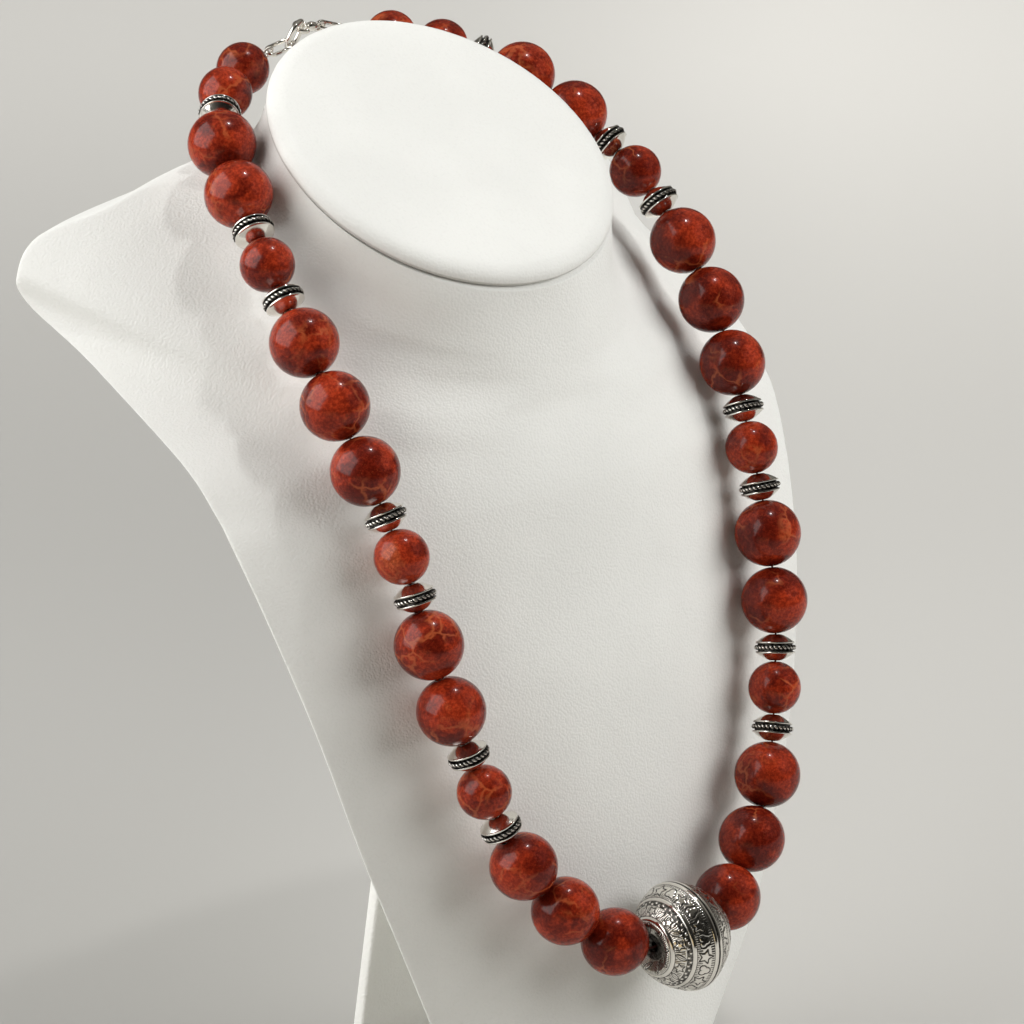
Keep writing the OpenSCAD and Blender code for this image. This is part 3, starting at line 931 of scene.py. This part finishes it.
class Relief:
    """Heights over the centre bead: polished ground and raised figures with black lines round them."""

    ground = 0.82
    groove = 0.4

    def __init__(self, angle, s, radius):
        self.angle = angle
        self.side = np.sign(s)
        self.a = np.abs(s)
        self.radius = radius
        self.height = np.full_like(s, self.ground)
        self.dark = np.zeros_like(s)

    def cut(self, mask):
        """A shallow black groove."""
        self.height = self.height * (1 - self.groove * mask)
        self.dark = np.maximum(self.dark, mask)

    def lines(self, count, where):
        """Fine lines along the string, count of them round the bead."""
        wave = 0.5 + 0.5 * np.cos(count * self.angle)
        self.cut(np.clip(wave * 1.6 - 0.5, 0, 1) * where)

    def rib(self, place, half_width):
        """A round rib with a black line at each side of it."""
        off = np.abs(self.a - place)
        from_line = np.abs(off - half_width - 0.12)
        self.cut(edge(from_line - 0.15, 0.16))
        top = 0.60 + 0.40 * np.sqrt(np.clip(1 - (off / half_width) ** 2, 0, 1))
        self.height = np.where(off < half_width, top, self.height)
        self.dark = np.where(off < half_width, 0.0, self.dark)

    def figure(self, distance, where, line=0.2, top=0.97):
        """A smooth raised figure whose outline is a black line."""
        inside = edge(distance, 0.4) * where
        self.height = self.height * (1 - inside) + top * inside
        self.dark = self.dark * (1 - inside)
        self.cut(edge(np.abs(distance) - line) * where)

    def across(self, count):
        """Distance across to the nearest of count figures round the bead, and that figure's number."""
        step = 2 * math.pi / count
        number = np.round(self.angle / step)
        return (self.angle - number * step) * self.radius, number.astype(int) % count

    def first_band(self):
        """Stars and three-lobed shields by turns, with fine lines along the string between them."""
        band = (self.a > 1.5) & (self.a < 6.95)
        x, number = self.across(20)
        y = self.a - 4.4
        figure = np.where(number % 2 == 0, star_distance(x, -y, 2.35, 1.15), shield_distance(x, y))
        self.lines(130, band & (figure > 0.45) & ((self.a > 5.2) | (self.a < 2.6)))
        self.figure(figure, band)

    def second_band(self):
        """A zigzag row of small beads, then stars and veined leaves by turns."""
        band = (self.a > 8.1) & (self.a < 13.25)
        x, number = self.across(54)
        y = self.a - 8.95 - 0.3 * (2 * (number % 2) - 1)
        self.cut(0.9 * band * (self.a < 9.8))
        self.figure(np.hypot(x, y) - 0.5, band, 0.1)
        x, number = self.across(18)
        y = self.a - 11.45
        lean = 0.45 * self.side
        leaf = leaf_distance(x + lean * y, y, 1.6, 0.78)
        on_leaf = band & (number % 2 == 1)
        self.lines(108, band & (self.a > 10.1) & (leaf > 0.45))
        self.figure(star_distance(x, y, 1.6, 0.8), band & (number % 2 == 0), 0.16)
        self.figure(leaf, on_leaf, 0.16)
        self.cut(edge(np.abs(x + lean * y) - 0.08) * (on_leaf & (leaf < -0.25)))

    def end_petals(self):
        """Curled petals in the dish, with fine lines behind them."""
        band = (self.a > 14.85) & (self.a < 18.6)
        x, _ = self.across(9)
        y = self.a - 16.6
        petal = leaf_distance(x + 0.5 * y, y, 1.75, 0.85)
        self.lines(81, band & (petal > 0.35))
        self.figure(petal, band)
        self.figure(leaf_distance(x + 0.5 * y + 0.2, y + 0.1, 1.1, 0.42), band, 0.1, 0.95)

    def finished(self):
        """Height and blackness with all bands, the ribs and the line round the middle."""
        self.first_band()
        self.second_band()
        self.end_petals()
        self.rib(0.85, 0.52)
        self.rib(7.5, 0.55)
        self.rib(13.85, 0.5)
        self.cut(edge(self.a - 0.16))
        return self.height, self.dark


class NECKLACE_OT_centre_bead(bpy.types.Operator):
    """Make the engraved silver centre bead."""

    bl_idname = "necklace.centre_bead"
    bl_label = "Centre bead"

    def execute(self, context):
        r, z, s = centre_bead_profile()
        angle = around(COLUMNS)
        grid_s, grid_angle = np.meshgrid(s, angle, indexing="ij")
        radius = np.repeat(r[:, None], COLUMNS, axis=1)
        height, dark = Relief(grid_angle, grid_s, radius).finished()

        # The relief fades out round the hole, and it rises square to the bead's surface.
        fade = np.clip((radius - 2.2) / 0.8, 0, 1)
        rise = context.scene.silver_settings.relief / MM * height * fade
        way = np.unwrap(np.arctan2(np.gradient(z, s), np.gradient(r, s)))[:, None]
        surface = polar(radius - rise * np.sin(way), grid_angle, z[:, None] + rise * np.cos(way))
        bore = polar(BORE_R, angle, z[-1] + BORE_STEP)
        points = np.concatenate([surface.reshape(-1, 3), bore, bore * (1, 1, -1)])
        _, _, centre, axis = next(p for p in THREADED if p[0] == "C")
        faces = grid_faces(len(s) + 2, COLUMNS, close_rows=True)
        obj = mesh_object("engraved_centre_bead", points @ basis(axis).T + centre, faces)
        face_away(obj)

        # The dish floor round the hole is painted dark, as painted shade in a recess.
        dark = np.maximum(dark, 0.95 * np.clip((4.5 - radius) / 0.5, 0, 1))
        float_attribute(obj.data, "tarnish", np.concatenate([dark.reshape(-1), np.ones(2 * COLUMNS)]))
        dress(obj, silver_material("engraved silver", 0.06, 1500.0), "engraved_silver", "centre_bead")
        return {"FINISHED"}


# Clasp

# Turns, radius and wire of the coil over an end loop, and the radius of the cord inside it.
COIL_TURNS = 26
COIL_R = 0.32
COIL_WIRE = 0.17
COIL_CORE = 0.27
# The crimped collar: where it starts, its length, its coils and the blind hole in its outer end.
COLLAR_START = 0.5
COLLAR_LENGTH = 2.6
COLLAR_COILS = 6
COLLAR_HOLE = ((0.3, 3.1), (0.3, 1.7), (0.6, 1.7))


class ClaspPlan:
    """Where the clasp's ring and the two ends of the string lie."""

    ring_centre = np.array((-5.0, 84.2, 313.2))
    ring_normal = unit((-0.455, 0.81, 0.37))
    ring_r = 4.5
    hook_tail = np.array((7.4, 85.6, 313.8))
    link_at = math.radians(208)
    hook_at = math.radians(20)
    loop_reach = 4.9
    loop_r = 1.8

    def __init__(self):
        self.across = unit(np.cross((0, 0, 1), -self.ring_normal))
        self.up = unit(np.cross(self.across, self.ring_normal))

    def on_ring(self, a):
        return self.ring_centre + self.ring_r * (math.cos(a) * self.across + math.sin(a) * self.up)

    def along_ring(self, a):
        return math.cos(a) * self.up - math.sin(a) * self.across

    def end(self, right):
        """Hole, direction and the loop plane's second direction of one end of the string."""
        place = THREADED[-1] if right else THREADED[0]
        hole = place[2] + (HALF_LENGTH["S"] if right else -HALF_LENGTH["S"]) * place[3]
        target = self.hook_tail if right else self.on_ring(self.link_at)
        way = unit(target - hole)
        hint = self.along_ring(self.hook_at if right else self.link_at)
        return hole, way, unit(hint - np.dot(hint, way) * way)


def end_collar(hole, way):
    """The crimped collar of close coils that closes an end loop."""
    steps = 6
    profile = [(0.62, COLLAR_START)]
    for i in range(COLLAR_COILS * steps + 1):
        crest = abs(math.sin(math.pi * i / steps))
        profile.append((0.98 + 0.11 * crest, COLLAR_START + COLLAR_LENGTH * i / (COLLAR_COILS * steps)))
    points, faces = lathe([*profile, *COLLAR_HOLE], 32)
    obj = face_away(mesh_object("collar", points @ basis(way).T + hole, faces))
    radius = np.linalg.norm(points[:, :2], axis=1)
    float_attribute(obj.data, "tarnish", np.clip((1.02 - radius) / 0.06, 0, 1))
    return obj


class NECKLACE_OT_thread_ends(bpy.types.Operator):
    """Make the coil-covered loops at the thread's ends and finish the thread."""

    bl_idname = "necklace.thread_ends"
    bl_label = "Thread and end loops"

    def execute(self, context):
        plan = ClaspPlan()
        silver = bpy.data.materials["polished silver"]
        for right in (False, True):
            side = "right" if right else "left"
            hole, way, up = plan.end(right)
            turn = around(64)
            ring = np.outer(np.cos(turn), way) + np.outer(np.sin(turn), up)
            ring = hole + plan.loop_reach * way + plan.loop_r * ring
            coil = path_object("coil", ring)
            winding(coil, COIL_TURNS, COIL_R, COIL_WIRE, COIL_TURNS * 12, 6, False, silver)
            core = path_object("core", ring)
            winding(core, 1, 0.0, COIL_CORE, 64, 8, False, silver)
            float_attribute(core.data, "tarnish", np.full(len(core.data.vertices), 0.9))
            loop = joined(f"coiled_loop_{side}", [coil, core, end_collar(hole, way)])
            dress(loop, silver, "silver", f"end_loop_{side}")
        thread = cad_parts["thread"]
        thread.data.materials.clear()
        thread.data.materials.append(thread_material())
        return {"FINISHED"}


class NECKLACE_OT_clasp(bpy.types.Operator):
    """Finish the clasp's ring, hook and oval links."""

    bl_idname = "necklace.clasp"
    bl_label = "Clasp and links"

    def execute(self, context):
        silver = bpy.data.materials["polished silver"]
        for node, name in (
            ("clasp_ring", "silver_clasp_ring"),
            ("clasp_hook", "silver_clasp_hook"),
            ("link_left", "oval_link_left"),
            ("link_right", "oval_link_right"),
        ):
            dress(smooth_copy(name, node), silver, "silver", node)
        return {"FINISHED"}


# Bust

# Sections of the bust: height, tilt, half width, depth of the rim, of the front, of the back, power,
# roundness. Each is cut by a plane that crosses the line y = FAN and rises to the back by its tilt.
FAN = -129.0
BUST_ROWS = np.array(
    [
        (0, 0, 41, -42, -68, -28, 2, 0),
        (21, 0, 51, -44.5, -67, -26, 2, 0),
        (52, 0, 65, -46, -65, -24, 2, 0),
        (79, 0, 75, -44, -63, -20, 2, 0),
        (112, 0, 86, -39.5, -58, -12, 2, 0),
        (148, 0, 95, -32, -51.5, 5, 2, 0),
        (175, 0, 101, -22.5, -44, 22, 2, 0),
        (197, 0, 105, -12, -38.5, 40, 2, 0),
        (197, 5, 106, -4, -36, 54, 2.05, 0),
        (197, 10, 107, 12, -32.2, 71, 2.15, 0),
        (197, 13.5, 107, 52, -28.7, 84, 2.8, 0),
        (197, 15.5, 111, 78, -27, 93, 2.8, 0),
        (197, 17.5, 112, 80, -26.2, 96, 2.35, 0),
        (197, 19.5, 104, 81, -25.4, 90, 2.25, 0),
        (197, 21.5, 87, 74, -24.6, 83, 2.5, 0),
        (197, 23.5, 69, 68.3, -23.9, 78, 2.6, 0.7),
        (197, 25.5, 58.1, 46.8, -23.4, 75, 2.55, 0.9),
        (197, 27.5, 54.1, 35, -23.1, 72.5, 2.35, 1),
        (196, 29.5, 52.7, 28.3, -23, 71.5, 2.2, 1),
        (195.7, 31, 52, 24, -23, 71, 2, 1),
    ],
    float,
)
# Rings from each row to the next, and points of a ring from its front to a rim and on to its back.
RING_STEPS = 6
FRONT_POINTS = 44
BACK_POINTS = 44
# Working points on a quarter of a section and round all of it, and the length that softens a corner.
QUARTER_POINTS = 60
FINE_POINTS = 2400
SOFT_CORNER = 1.7


def smooth_row(q):
    """The bust's section at a place between its rows."""
    n = len(BUST_ROWS) - 1
    i = min(int(q), n - 1)
    t = q - i
    a, b, c, d = (BUST_ROWS[min(max(k, 0), n)] for k in (i - 1, i, i + 1, i + 2))
    return 0.5 * (2 * b + (c - a) * t + (2 * a - 5 * b + 4 * c - d) * t**2 + (3 * b - a - 3 * c + d) * t**3)


def bust_ring(q):
    """Points of one section from the middle of the front, closest at the rims, with soft corners."""
    height, tilt, width, rim, front, back, power, soft = smooth_row(q)
    s = np.sin(np.linspace(0, math.pi / 2, QUARTER_POINTS))
    fore = rim - (rim - front) * np.maximum(0, 1 - s**power) ** (1 - soft / 2)
    aft = rim + (back - rim) * np.maximum(0, 1 - s ** (4 - 2 * soft)) ** (1 - soft / 2)
    x = np.concatenate([width * s, width * s[-2::-1]])
    y = np.concatenate([fore, aft[-2::-1]])
    x = np.concatenate([x, -x[-2:0:-1], x[:1]])
    y = np.concatenate([y, y[-2:0:-1], y[:1]])
    run = run_length(np.column_stack([x, y]))
    at_rim, whole = run[QUARTER_POINTS - 1], run[-1]

    fine = np.linspace(0, whole, FINE_POINTS, endpoint=False)
    x, y = np.interp(fine, run, x), np.interp(fine, run, y)
    reach = int(round(SOFT_CORNER / (whole / FINE_POINTS)))
    weights = np.hanning(2 * reach + 3)[1:-1]
    weights /= weights.sum()
    for values in (x, y):
        padded = np.concatenate([values[-reach:], values, values[:reach]])
        values[:] = np.convolve(padded, weights, mode="valid")

    fore = at_rim * (1 - (1 - np.arange(FRONT_POINTS) / FRONT_POINTS) ** 1.5)
    aft = at_rim + (whole / 2 - at_rim) * (np.arange(BACK_POINTS) / BACK_POINTS) ** 1.5
    half = np.concatenate([fore, aft])
    at = np.concatenate([half, whole / 2 + (whole / 2 - np.append(half, whole / 2)[:0:-1])])
    x, y = np.interp(at, fine, x, period=whole), np.interp(at, fine, y, period=whole)
    return np.column_stack([x, y, height + (y - FAN) * math.tan(math.radians(tilt))])


class NECKLACE_OT_bust(bpy.types.Operator):
    """Make the covered bust."""

    bl_idname = "necklace.bust"
    bl_label = "Bust"

    def execute(self, context):
        count = RING_STEPS * (len(BUST_ROWS) - 1)
        obj = skin("covered_bust", [bust_ring(i / RING_STEPS) for i in range(count + 1)])
        shade(obj, 60)
        dress(obj, covering_material("white leatherette"), "leatherette", "bust")
        return {"FINISHED"}


# The pad: half width and half depth of its oval, its middle on the neck's cut, and the cut's slope.
PAD_HALF = np.array((53.0, 54.5))
PAD_MIDDLE = (0, 24, 289)
NECK_SLOPE = math.radians(31)
PAD_COLUMNS = 240


def pad_outline():
    """Inset from the pad's oval and height over the cut, from the tucked edge to near the middle."""
    rolled_in, rolled_up, crown = 5.6, 4.1, 0.45
    rows = [(6.0, -0.95), (1.6, -0.95), (0.9, -0.9), (0.45, -0.55)]
    for t in np.radians(np.arange(0, 91, 7.5)):
        rows.append((0.05 + rolled_in * (1 - math.cos(t)), 0.3 + rolled_up * math.sin(t)))
    for inset in (9, 14, 20, 27, 34, 41, 47, 51):
        rows.append((inset, 0.3 + rolled_up + crown * (1 - (1 - inset / PAD_HALF[0]) ** 2)))
    return rows


class NECKLACE_OT_neck_pad(bpy.types.Operator):
    """Make the rolled oval pad on top of the neck."""

    bl_idname = "necklace.neck_pad"
    bl_label = "Neck pad"

    def execute(self, context):
        rows = pad_outline()
        turn = around(PAD_COLUMNS)
        lean = np.array(
            (
                (1, 0, 0),
                (0, math.cos(NECK_SLOPE), -math.sin(NECK_SLOPE)),
                (0, math.sin(NECK_SLOPE), math.cos(NECK_SLOPE)),
            )
        )
        rings = []
        for inset, z in rows:
            pucker = 0.05 * np.sin(31 * turn + 2 * np.sin(3 * turn)) * max(0.0, 1 - abs(z - 1.5) / 2.5)
            x_r, y_r = (np.maximum(half - inset - 0.05 - pucker, 0.2) for half in PAD_HALF)
            ring = np.column_stack([x_r * np.cos(turn), y_r * np.sin(turn), np.full(PAD_COLUMNS, z)])
            rings.append(ring @ lean.T + PAD_MIDDLE)
        obj = skin("rolled_neck_pad", rings)
        # The tucked rows carry a painted brown shadow line for the gap between the pad and the neck.
        gap_shadow_rows = [1.0 if z < -0.7 else 0.35 if z < 0.35 else 0.0 for _, z in rows]
        float_attribute(obj.data, "seam", np.repeat(gap_shadow_rows, PAD_COLUMNS))
        dress(obj, covering_material("white pad leatherette", 0.8), "leatherette", "neck_pad")
        return {"FINISHED"}


class NECKLACE_OT_stand_leg(bpy.types.Operator):
    """Make the covered board that props the bust up."""

    bl_idname = "necklace.stand_leg"
    bl_label = "Back leg"

    def execute(self, context):
        top, thick, half_width = 148.0, 4.5, 30.0
        top_y, foot_y = 5.3, 31.2
        outline = [(top_y, top), (foot_y, 0.0), (foot_y + thick, 0.0), (top_y + thick, top)]
        points = [(x, y, z) for x in (-half_width, half_width) for y, z in outline]
        faces = [(0, 1, 2, 3), (7, 6, 5, 4)]
        faces += [(i, i + 4, (i + 1) % 4 + 4, (i + 1) % 4) for i in range(4)]
        obj = face_away(mesh_object("covered_leg", points, faces, smooth=False))
        bevel = obj.modifiers.new("Rounded edges", "BEVEL")
        bevel.width = 1.1 * MM
        bevel.segments = 4
        replace_mesh(obj)
        shade(obj, 35)
        # The leg's covering is painted 1.12 times paler than the bust's, as painted light for a part that
        # gets less of it.
        dress(obj, covering_material("leg covering", 1.3, 1.12), "board", "stand_leg")
        return {"FINISHED"}


# Stage

CAMERA_PLACE = Vector((-0.8437, -0.95, 0.6558))
CAMERA_WAY = Vector((0.62513, 0.69865, -0.34800))
NECKLACE_MIDDLE = Vector((0, 0, 0.19))
# The sheet of paper in millimetres: half its width, where it starts and where it curves up, the radius
# of the curve and the height of its top.
PAPER_HALF, PAPER_START, PAPER_BEND, PAPER_CURVE, PAPER_TOP = 3500, -3000, 2500, 900, 3500


def aimed(name, data, place, target):
    """An object at a place that looks at a target."""
    obj = linked(name, data)
    obj.location = place
    obj.rotation_euler = (Vector(target) - Vector(place)).to_track_quat("-Z", "Y").to_euler()
    return obj


def area_light(name, way, distance, width, height, power, colour=(1, 1, 1)):
    """A soft box in a direction from the middle of the necklace."""
    light = bpy.data.lights.new(name, "AREA")
    light.shape = "RECTANGLE"
    light.size = width
    light.size_y = height
    light.energy = power
    light.color = colour
    place = NECKLACE_MIDDLE + distance * Vector(way).normalized()
    return aimed(name, light, place, NECKLACE_MIDDLE)


def studio_lights():
    """Soft boxes at the front right, the left, low on the left and over the back, and a small lamp."""
    key = area_light("key box", (0.54, -0.69, 0.48), 1.25, 1.1, 0.9, 13.5)
    key.visible_glossy = False
    area_light("left box", (-0.781, 0.414, 0.50), 1.3, 1.6, 1.4, 25.0)
    area_light("top lamp", (0.196, -0.094, 0.969), 0.95, 0.06, 0.06, 1.8)
    area_light("low warm box", (-0.75, -0.50, -0.05), 1.0, 0.8, 0.22, 0.35, (1.0, 0.78, 0.45))
    far = area_light("far lamp", (0.55, 0.68, 0.48), 1.9, 1.2, 1.2, 13.5)
    far.rotation_euler = (0, 0, 0)
    far.visible_glossy = False


def studio_world(scene):
    """A pale room that is bright above and dark on the side in front of the bust."""
    world = bpy.data.worlds.new("studio")
    scene.world = world
    world.use_nodes = True
    tree = world.node_tree
    way = tree.nodes.new("ShaderNodeTexCoord").outputs["Generated"]
    height = add(tree, "ShaderNodeSeparateXYZ", {"Vector": way}).outputs["Z"]
    above = between(tree, height, 0.0, 1.0, -0.1, 0.75)
    strength = between(tree, above, 0.08, 0.25)
    facing = {0: way, 1: (-0.24, -0.85, 0.47)}
    front = add(tree, "ShaderNodeVectorMath", facing, operation="DOT_PRODUCT").outputs["Value"]
    off_front = between(tree, ramp(tree, front, 0.97, 0.35), 0.08, 1.0)
    back = tree.nodes["Background"]
    back.inputs["Color"].default_value = (1.0, 0.95, 0.85, 1)
    tree.links.new(maths(tree, "MULTIPLY", strength, off_front), back.inputs["Strength"])


def paper_material():
    """Pale paper with painted shade on the viewer's left and painted light far away."""
    material, tree, shader, spot = new_material("paper")
    place = add(tree, "ShaderNodeSeparateXYZ", {"Vector": spot}).outputs
    # Painted light and shade: the colour is darker towards the left and lighter far away, with a noisy
    # edge.
    shade_edge_wobble = maths(tree, "MULTIPLY", noise(tree, spot, 2.0, 2.0), 0.08)
    across = maths(tree, "SUBTRACT", place["X"], place["Y"])
    right = ramp(tree, maths(tree, "ADD", across, shade_edge_wobble), -0.16, 0.24)
    away = ramp(tree, maths(tree, "ADD", place["X"], place["Y"]), 0.6, 1.8)
    tone = maths(tree, "MULTIPLY", between(tree, right, 0.68, 0.91), between(tree, away, 1.0, 1.42))
    colour = mix_colour(tree, 1.0, tuple(bpy.context.scene.stage_settings.floor), tone, "MULTIPLY")
    tree.links.new(colour, shader.inputs["Base Color"])
    shader.inputs["Roughness"].default_value = 0.8
    return material


def paper_sweep():
    """A floor of paper that curves up into a wall far behind the bust."""
    rows = [(PAPER_START, 0.0), (PAPER_BEND, 0.0)]
    for t in np.linspace(0, math.pi / 2, 12)[1:]:
        rows.append((PAPER_BEND + PAPER_CURVE * math.sin(t), PAPER_CURVE * (1 - math.cos(t))))
    rows.append((PAPER_BEND + PAPER_CURVE, PAPER_TOP))
    points = [(x, y, z) for y, z in rows for x in (-PAPER_HALF, PAPER_HALF)]
    faces = [(i, i + 1, i + 3, i + 2) for i in range(0, len(points) - 2, 2)]
    return mesh_object("floor", points, faces)


class NECKLACE_OT_stage(bpy.types.Operator):
    """Set up the floor, the studio light and the camera."""

    bl_idname = "necklace.stage"
    bl_label = "Camera, light and floor"

    def execute(self, context):
        scene = context.scene
        camera = bpy.data.cameras.new("camera")
        camera.lens = scene.stage_settings.focal_length
        camera.sensor_width = 36.0
        camera.clip_start = 0.05
        scene.camera = aimed("camera", camera, CAMERA_PLACE, CAMERA_PLACE + CAMERA_WAY)
        floor = paper_sweep()
        floor.data.materials.append(paper_material())
        studio_lights()
        studio_world(scene)
        scene.view_settings.view_transform = "Standard"
        scene.view_settings.look = "None"
        return {"FINISHED"}


# Add-on

STEPS = (
    NECKLACE_OT_stage,
    NECKLACE_OT_coral_beads,
    NECKLACE_OT_spacers,
    NECKLACE_OT_centre_bead,
    NECKLACE_OT_thread_ends,
    NECKLACE_OT_clasp,
    NECKLACE_OT_bust,
    NECKLACE_OT_neck_pad,
    NECKLACE_OT_stand_leg,
)
GROUPS = {
    "coral_settings": CoralSettings,
    "silver_settings": SilverSettings,
    "bust_settings": BustSettings,
    "stage_settings": StageSettings,
}


class NECKLACE_PT_pieces(bpy.types.Panel):
    """Lists the pieces of the necklace and its display."""

    bl_idname = "NECKLACE_PT_pieces"
    bl_label = "Necklace"
    bl_space_type = "VIEW_3D"
    bl_region_type = "UI"
    bl_category = "Necklace"

    def draw(self, context):
        for name in GROUPS:
            box = self.layout.box()
            settings = getattr(context.scene, name)
            for key in settings.bl_rna.properties.keys():
                if key not in ("rna_type", "name"):
                    box.prop(settings, key)
        for step in STEPS:
            self.layout.operator(step.bl_idname)


def register():
    for name, group_class in GROUPS.items():
        bpy.utils.register_class(group_class)
        setattr(bpy.types.Scene, name, bpy.props.PointerProperty(type=group_class))
    for item in (*STEPS, NECKLACE_PT_pieces):
        bpy.utils.register_class(item)


def unregister():
    for item in (NECKLACE_PT_pieces, *reversed(STEPS)):
        bpy.utils.unregister_class(item)
    for name, group_class in GROUPS.items():
        delattr(bpy.types.Scene, name)
        bpy.utils.unregister_class(group_class)


def main():
    register()
    scuffs_group()
    pebble_group()
    bpy.ops.necklace.stage()
    bpy.ops.necklace.coral_beads()
    bpy.ops.necklace.spacers()
    bpy.ops.necklace.centre_bead()
    bpy.ops.necklace.thread_ends()
    bpy.ops.necklace.clasp()
    bpy.ops.necklace.bust()
    bpy.ops.necklace.neck_pad()
    bpy.ops.necklace.stand_leg()


if __name__ == "__main__":
    main()
